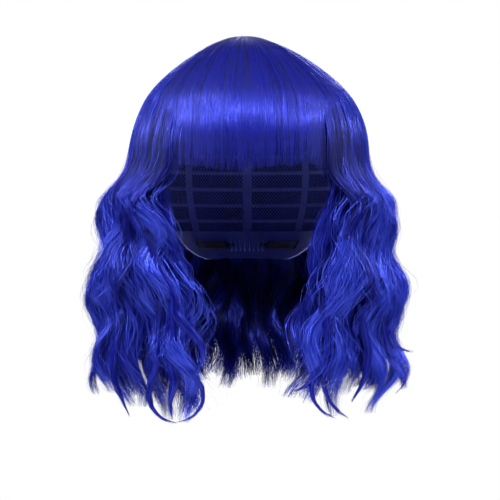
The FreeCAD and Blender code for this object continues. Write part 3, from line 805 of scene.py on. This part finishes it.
def rim_height(y):
    return np.interp(y, RIM_LINE[:, 0], RIM_LINE[:, 1])


def on_side(y, z, lift):
    """Places on the right of the head form from a side view; NaN beyond its outline."""
    h = HEAD + lift
    with np.errstate(invalid="ignore"):
        return np.stack([h[0] * np.sqrt(1 - (y / h[1]) ** 2 - (z / h[2]) ** 2), y, z], -1)


def on_ray(start_y, angle, off, z, lift):
    """Where an upright strip from (0, start_y), at an angle in degrees from the front and off mm to its
    side, meets the head form at height z."""
    h = HEAD + lift
    r = math.radians(angle)
    d = np.array([math.sin(r), -math.cos(r)])
    p = np.array([off * math.cos(r), start_y + off * math.sin(r)])
    share = 1 - (z / h[2]) ** 2
    a = (d ** 2 / h[:2] ** 2).sum()
    b = 2 * (d * p / h[:2] ** 2).sum()
    c = (p ** 2 / h[:2] ** 2).sum() - share
    t = (-b + np.sqrt(np.maximum(b * b - 4 * a * c, 0))) / (2 * a)
    return np.stack([p[0] + t * d[0], p[1] + t * d[1], z + 0 * t], -1)


def pad_share(x, y):
    """Distance from the whorl, with 1 at the crown pad's edge."""
    return np.hypot(x / PAD_HALF[0], (y - WHORL_Y) / PAD_HALF[1])


def weft_height(i):
    return HEAD[2] * math.sin(math.radians(WEFT_LOW + WEFT_SPAN * i / (WEFTS - 1)))


def scalp_base():
    """The dark root layer behind the wefts, from the rim up: its dark tone is painted shade of the hair behind
    it.
    """
    na, ne = 160, 70
    a, f = np.meshgrid(np.linspace(-np.pi, np.pi, na + 1), np.linspace(0, 1, ne), indexing="ij")
    low = np.zeros(na + 1)
    for _ in range(30):  # settles on the elevation whose height is the rim's
        p = scalp(a[:, 0], np.arcsin(np.clip(low, -0.99, 0.99)), ROOT_LAYER)
        low = 0.5 * low + 0.5 * np.clip((rim_height(p[:, 1]) + 4) / (HEAD[2] + ROOT_LAYER), -0.9, 0.9)
    e0 = np.arcsin(low)[:, None]
    p = scalp(a, e0 + (np.pi / 2 - 0.01 - e0) * f, ROOT_LAYER)
    obj = raw_mesh("root_layer", p.reshape(-1, 3), grid_quads(na + 1, ne, False), HAIR)
    # a dark tone of painted shade, varied a little at random round the head
    tone = 0.12 + 0.10 * rng.random((na + 1, 1)) * np.ones((1, ne))
    set_tone(obj, tone, 1)
    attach(obj, "cap")


def thread_mesh(name, paths, keep, width, material, lift_dir):
    """Flat threads, with the stretches where keep is False left out."""
    n, k, _ = paths.shape
    side = frame_along(paths, lift_dir)[0] * width / 2
    cols = np.stack([paths - side, paths + lift_dir * width * 0.3, paths + side], 2)
    ok = (keep[:, :-1] & keep[:, 1:]).reshape(-1)
    base = (np.arange(n * k).reshape(n, k)[:, :-1] * 3).reshape(-1)[ok]
    quads = np.stack([base, base + 1, base + 4, base + 3], -1)
    quads = np.concatenate([quads, quads + 1])
    used, index = np.unique(quads, return_inverse=True)
    return raw_mesh(name, cols.reshape(-1, 3)[used], index.reshape(-1, 4), material)


def cap_net():
    """Fine diamond net over the whole inside of the cap."""
    threads, points = 170, 150
    lift, margin = 1.3, 2.5
    elev = np.linspace(math.radians(-52), math.radians(74), points)
    run = np.log(np.tan(np.pi / 4 + elev / 2))
    start = np.linspace(0, 2 * np.pi, threads, endpoint=False)[:, None]
    for i, turn in enumerate((1, -1)):
        a = start + turn * run[None, :]
        p = scalp(a, elev[None, :] * np.ones_like(a), lift)
        keep = p[..., 2] > rim_height(p[..., 1]) + margin
        inward = -unit(p / HEAD ** 2)
        obj = thread_mesh(f"cap_net_threads_{i + 1}", p, keep, 0.5, NET, inward)
        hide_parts("cap_net")
        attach(obj, "cap")


def threads(name, lines, width, material, body, slot="band", dash=None, gap=None):
    """Sewing thread along lines in mm, whole or in stitches, on the cap's inner face."""
    points, keep = [], []
    for line in lines:
        line = line[np.isfinite(line).all(axis=1)]
        run = np.concatenate([[0], np.cumsum(np.linalg.norm(np.diff(line, axis=0), axis=1))])
        count = max(int(run[-1] / 0.45), 2)
        at = np.linspace(0, run[-1], count)
        p = np.stack([np.interp(at, run, line[:, i]) for i in range(3)], -1)
        ok = np.ones(count, bool) if dash is None else at % (dash + gap) < dash
        ok[-1] = False
        points.append(p)
        keep.append(ok)
    p, ok = np.concatenate(points)[None], np.concatenate(keep)[None]
    obj = thread_mesh(name, p, ok, width, material, -unit(p / HEAD ** 2))
    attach(obj, body)


def seams():
    """Topstitching along the bands, the ribbons and the weft rows."""
    rim, inner, binding = (rim_curve(inset) for inset in (2.2, 16.4, 5.6))
    front = inner[inner[:, 0] < TAB_BACK_Y]
    ear = binding[(binding[:, 0] > TAB_BACK_Y) & (binding[:, 1] > NAPE_BAND_TOP)]
    lines = [on_side(c[:, 0], c[:, 1], BAND_FACE) for c in (rim, front, ear)]
    y = np.linspace(40, 97, 300)
    top = NAPE_BAND_TOP - 1.6
    y = y[rim_height(y) < top - 1]
    lines.append(on_side(y, top + 0 * y, BAND_FACE))
    lines = [line * [side, 1, 1] for line in lines for side in (-1, 1)]
    threads("band_stitches", lines, 0.55, THREAD, "cap", dash=2.3, gap=1.0)
    lines = []
    for k in range(RIBBONS):
        for off in (-RIBBON_HALF + 0.9, RIBBON_HALF - 0.9):
            p = on_ray(WHORL_Y, 360 / RIBBONS * k, off, np.linspace(88, -72, 420), 1.5)
            lines.append(p[(pad_share(p[:, 0], p[:, 1]) > 1.03) & (p[:, 2] > rim_height(p[:, 1]) + 1)])
    threads("ribbon_stitches", lines, 0.5, THREAD, "cap", "ribbon", dash=2.3, gap=1.0)
    lines = []
    a = np.linspace(-np.pi, np.pi, 1500)
    zigzag = 1.1 * (2 * np.abs((a * 85 / 1.9) % 2 - 1) - 1)
    for i in range(WEFTS):
        z0 = weft_height(i)
        z = z0 + zigzag * max(math.cos(math.asin(z0 / HEAD[2])), 0.5)
        p = scalp(a, np.arcsin(z / (HEAD[2] + 2.0)), 2.0)
        ok = (z0 > rim_height(p[:, 1]) + 7) & (pad_share(p[:, 0], p[:, 1]) > 1.03)
        edges = np.flatnonzero(np.diff(np.concatenate([[0], ok.astype(int), [0]])))
        lines += [p[i0:i1] for i0, i1 in zip(edges[::2], edges[1::2]) if i1 - i0 > 4]
    threads("weft_stitches", lines, 0.42, THREAD, "cap", "ribbon")


def weft_roots():
    """Short fibre ends that hang from each weft row, seen through the net."""
    paths, outs, tones = [], [], []
    points = 6
    t = np.linspace(0, 1, points)[None, :]
    for i in range(WEFTS):
        e0 = math.asin(weft_height(i) / HEAD[2])
        n = int(420 * max(math.cos(e0), 0.45))
        a = rng.uniform(-np.pi, np.pi, (n, 1))
        drop = 15 * rng.uniform(0.8, 1.15, (n, 1))
        elev = e0 - t * drop / 99
        p = scalp(a + 0.03 * rng.normal(0, 1, (n, 1)) * t, elev, 0.0)
        o = unit(p / HEAD ** 2)
        p = p + o * (2.6 + 1.5 * t)[..., None]
        ok = (p[:, -1, 2] > rim_height(p[:, -1, 1]) + 3) & (pad_share(p[:, 0, 0], p[:, 0, 1]) > 1.0)
        paths.append(p[ok])
        outs.append(-o[ok])
        tones.append((rng.uniform(0.25, 0.75, (n, 1)) + 0 * t)[ok])
    paths, outs, tones = (np.concatenate(x) for x in (paths, outs, tones))
    width = 0.9 * rng.uniform(0.6, 1.3, (len(paths), 1)) * np.ones(points)
    obj = strand_mesh("weft_roots", paths, outs, width, tones)
    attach(obj, "cap")


def dome(x, y, lift):
    """Places over the crown from above."""
    h = [half + lift for half in HEAD]
    return np.stack([x, y, h[2] * np.sqrt(np.maximum(1 - (x / h[0]) ** 2 - (y / h[1]) ** 2, 0))], -1)


def on_pad(r, a):
    return PAD_HALF[0] * r * np.sin(a), WHORL_Y + PAD_HALF[1] * r * np.cos(a)


def crown_pad():
    """Quilted gauze oval: puffed between rings and rays of stitches, thinner at its edge."""
    rings, turns = 34, 128
    round_it = np.linspace(0, 2 * np.pi, turns, endpoint=False)
    r, a = np.meshgrid(np.linspace(0.02, 1, rings), round_it, indexing="ij")
    x, y = on_pad(r, a)
    puff = np.abs(np.sin(np.pi * r * 4)) ** 0.6 * np.abs(np.sin(6 * a)) ** 0.4
    edge = np.sqrt(np.clip(1 - r ** 8, 0, 1))
    inner = dome(x, y, 2.9 - (0.45 + 0.80 * puff) * edge)
    outer = dome(x, y, 2.9 + 1.2 * edge)
    co = np.concatenate([inner.reshape(-1, 3), outer.reshape(-1, 3)])
    under = grid_quads(rings, turns, True)[:, [0, 3, 2, 1]]
    over = under[:, ::-1] + rings * turns
    obj = raw_mesh("crown_pad_quilt", co, np.concatenate([under, over]), PAD)
    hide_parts("crown_pad")
    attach(obj, "cap")
    t = np.linspace(0, 2 * np.pi, 300)
    lines = [dome(*on_pad(q, t), 2.2) for q in (0.25, 0.5, 0.75, 0.96)]
    q = np.linspace(0.25, 0.96, 60)
    lines += [dome(*on_pad(q, w), 2.2) for w in np.arange(12) * math.pi / 6]
    threads("crown_pad_stitches", lines, 0.5, THREAD, "cap", dash=2.0, gap=1.2)


def at_nape(angle, up, lift, sign):
    """Places at the nape, in rows: degrees round from its middle, height above the adjusters' line, lift."""
    rows = zip(*np.broadcast_arrays(*(np.ravel(v) for v in (angle, up, lift))))
    points = [
        on_ray(NAPE_AXIS_Y, 180 - float(w), 0, np.float64(ADJUSTER_Z + u), float(v))
        for w, u, v in rows
    ]
    return np.array(points) * [sign, 1, 1]


def strap(word, sign):
    """Ribbed elastic, crimped along its length, with its end folded round the hook's plate."""
    along_it, ribs = 120, 31
    hook_end, anchor_end = 24.6, 57.8  # degrees round the nape
    w = np.linspace(hook_end, anchor_end, along_it)[:, None]
    v = np.linspace(-1, 1, ribs)[None, :]
    crimp = np.sin(w * 2 * np.pi / 0.8)
    fold = smooth((27.6 - w) / 0.9) * np.clip((w - 24.3) / 0.5, 0.3, 1)
    rib = np.abs(np.cos(v * np.pi * 3.5)) ** 0.7 * (0.85 + 0.15 * crimp)
    inner = -1.52 - 0.22 * rib - 0.75 * fold
    outer = -1.22 + 0.05 * rib + 0.25 * fold
    up = v * 3.5 * (0.975 + 0.02 * crimp + 0.03 * fold)
    ring_lift = np.concatenate([inner, outer[:, ::-1]], 1)
    ring_up = np.concatenate([up, up[:, ::-1]], 1)
    ring_w = np.broadcast_to(w, ring_lift.shape)
    p = at_nape(ring_w, ring_up, ring_lift, sign)
    c = ring_lift.shape[1]
    quads = grid_quads(along_it, c, True)
    ends = (0, (along_it - 1) * c)
    caps = [[e + q, e + c - 1 - q, e + c - 2 - q, e + q + 1] for e in ends for q in range(c // 2 - 1)]
    obj = raw_mesh(f"elastic_strap_{word}", p, np.concatenate([quads, np.array(caps)]), ELASTIC)
    start, end = at_nape((50.0, 27.6), 0.0, -1.4, sign) * MM
    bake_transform(obj)
    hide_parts(f"strap_{word}")
    near, far, half = 51.4, 57.0, 2.5
    a, b, c, d = (near, -half), (far, -half), (far, half), (near, half)
    box = np.array([a, b, c, d, a, c, b, d])
    box = np.array([p * (1 - f) + q * f for p, q in zip(box, box[1:]) for f in np.linspace(0, 1, 14)])
    line = at_nape(box[:, 0], box[:, 1], -1.85, sign)
    threads(f"strap_stitches_{word}", [line], 0.45, THREAD, "cap", "elastic", dash=1.4, gap=0.5)
    bar = np.linspace(-2.9, 2.9, 30)
    lines = [at_nape(q, bar, -2.62, sign) for q in (25.4, 26.3)]
    threads(f"fold_stitches_{word}", lines, 0.4, THREAD, f"adjuster_{word}", "elastic", dash=1.2, gap=0.5)


def loop_threads(word, sign):
    """Two-ply thread arches that the hook's tongue passes under."""
    points = 80
    t = np.linspace(0, 1, points)
    half, high, corner = 5.1, 3.35, 1.6
    turns = (0, 0.16, 0.27, 0.73, 0.84, 1)
    up = np.interp(t, turns, (half, half, half - corner, -half + corner, -half, -half))
    lift = -np.interp(t, turns, (-0.3, high - corner, high, high, high - corner, -0.3))
    for _ in range(6):
        up[1:-1] = 0.25 * up[:-2] + 0.5 * up[1:-1] + 0.25 * up[2:]
        lift[1:-1] = 0.25 * lift[:-2] + 0.5 * lift[1:-1] + 0.25 * lift[2:]
    paths, outs = [], []
    for i in range(4):
        middle = 17.95 - 5 * i
        line = at_nape(middle, up, lift, sign)
        tangent = unit(np.gradient(line, axis=0))
        round_it = unit(at_nape(middle + 1.0, up, lift, sign) - line)
        third = unit(np.cross(tangent, round_it))
        for ply in (0, np.pi):
            turn = t * 2 * np.pi * 9 + ply
            paths.append(line + 0.2 * (round_it * np.cos(turn)[:, None] + third * np.sin(turn)[:, None]))
            outs.append(round_it)
    one = np.ones((len(paths), points))
    thick = 0.24 * one
    obj = tube_mesh(f"loop_threads_{word}", np.array(paths), np.array(outs), thick, thick, 0.5 * one, 7)
    obj.data.materials[0] = THREAD
    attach(obj, "cap")
    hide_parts(f"hook_loops_{word}")


def tab_seams(word, sign):
    """Stitches round the ear tab's edge and beside its stay."""
    y0, tip, root = -31.85, -20.1, 30.76  # the tab's middle, and its lowest and highest z
    half, inset, r = 8, 1.8, 6.2
    z = np.linspace(8, tip, 60)
    share = (z - tip) / (root - tip)
    front = y0 - half - (y0 - TAB_FRONT_Y - half) * share + inset
    back = y0 + half + (TAB_BACK_Y - y0 - half) * share - inset
    a = np.linspace(0, np.pi, 40)
    end = np.stack([y0 - r * np.cos(a), tip - r * np.sin(a)], -1)
    edge = np.concatenate([np.stack([front, z], -1), end, np.stack([back, z], -1)[::-1]])
    edge = edge[edge[:, 1] < rim_height(edge[:, 0]) - 2]
    stay = np.linspace(5, tip - 1, 50)
    lines = [edge] + [np.stack([y0 + q + 0 * stay, stay], -1) for q in (-2.6, 2.6)]
    lines = [on_side(c[:, 0], c[:, 1], BAND_FACE) * [sign, 1, 1] for c in lines]
    threads(f"tab_stitches_{word}", lines, 0.55, THREAD, f"tab_{word}", dash=2.0, gap=0.9)


scalp_base()
cap_net()
seams()
weft_roots()
crown_pad()
for word, sign in SIDES:
    strap(word, sign)
    loop_threads(word, sign)
    tab_seams(word, sign)

# what the CAD nodes that still show are made of, by how their names start; a later line wins
FINISH = (
    (("front_band", "nape_band", "ear_binding", "ear_tab"), SATIN),
    (("ribbon", "weft"), TAPE),
    (("strap_anchor",), ELASTIC),
    (("hook_left", "hook_right", "ear_tab_stay"), PLASTIC),
)
for name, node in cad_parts.items():
    for starts, material in FINISH:
        if name.startswith(starts):
            node.data.materials.clear()
            node.data.materials.append(material)

# -------------------- stage, light and camera
FLOOR_Z, FLOOR_RADIUS, FLOOR_SIDES = -0.42, 0.62, 96
turn = np.linspace(0, 2 * math.pi, FLOOR_SIDES, endpoint=False)
ring = [(FLOOR_RADIUS * math.cos(a), FLOOR_RADIUS * math.sin(a), FLOOR_Z) for a in turn]
mesh = bpy.data.meshes.new("floor")
mesh.from_pydata(ring, [], [list(range(FLOOR_SIDES))])
floor = linked("floor", mesh)
paint, _, shader, _ = nodes_of("floor_paint")
set_inputs(shader, {"Base Color": (0.85, 0.85, 0.85, 1), "Roughness": 0.8})
mesh.materials.append(paint)

# the camera sees a white world, and the wig is lit by a dim one
world = bpy.data.worlds.new("studio")
bpy.context.scene.world = world
world.use_nodes = True
tree = world.node_tree
tree.nodes.clear()
out, path, mix = added(tree, "OutputWorld"), added(tree, "LightPath"), added(tree, "MixShader")
lit = added(tree, "Background", {"Color": (0.92, 0.94, 1.0, 1), "Strength": 0.11})
seen = added(tree, "Background", {"Color": (1, 1, 1, 1), "Strength": 1.0})
tree.links.new(path.outputs["Is Camera Ray"], mix.inputs[0])
tree.links.new(lit.outputs[0], mix.inputs[1])
tree.links.new(seen.outputs[0], mix.inputs[2])
tree.links.new(mix.outputs[0], out.inputs["Surface"])

# name, place, aim, size and power
LAMPS = (
    ("key", (-0.08, -1.17, 1.31), (0, 0, 0.02), (1.5, 0.34), 34),
    ("upper_left", (-1.18, -0.21, 1.27), (-0.03, 0, 0.03), (0.5, 0.3), 14),
    ("upper_right", (1.18, -0.21, 1.27), (0.03, 0, 0.03), (0.5, 0.3), 8),
    ("left", (-1.25, -0.95, 0.80), (-0.05, 0, -0.09), (0.6, 0.35), 21),
    ("right", (1.25, -0.95, 0.76), (0.05, 0, -0.09), (0.6, 0.35), 22),
    ("left_side", (-1.45, 0.10, 0.60), (-0.05, 0, -0.05), (0.6, 0.35), 12),
    ("right_side", (1.45, 0.10, 0.58), (0.05, 0, -0.05), (0.6, 0.35), 11),
    ("back", (0.1, 1.6, 0.75), (0, 0.05, -0.03), (1.4, 0.4), 16),
)
for name, place, aim, size, power in LAMPS:
    data = bpy.data.lights.new(name, "AREA")
    data.shape = "RECTANGLE"
    data.size, data.size_y = size
    data.energy = power
    obj = linked(name, data)
    obj.location = place
    obj.rotation_euler = (Vector(aim) - Vector(place)).to_track_quat("-Z", "Y").to_euler()

DISTANCE = 2.0
VIEW_WIDTH = 0.425  # metres across the picture, at the wig's middle
SENSOR = 36
camera = bpy.data.cameras.new("camera")
camera.sensor_width = SENSOR
camera.lens = SENSOR * DISTANCE / VIEW_WIDTH
camera.clip_end = 20
view = linked("camera", camera)
view.location = (0.0025, -DISTANCE, -0.066)
view.rotation_euler = (math.pi / 2, 0, 0)
bpy.context.scene.camera = view

bpy.context.scene.view_settings.view_transform = "Standard"
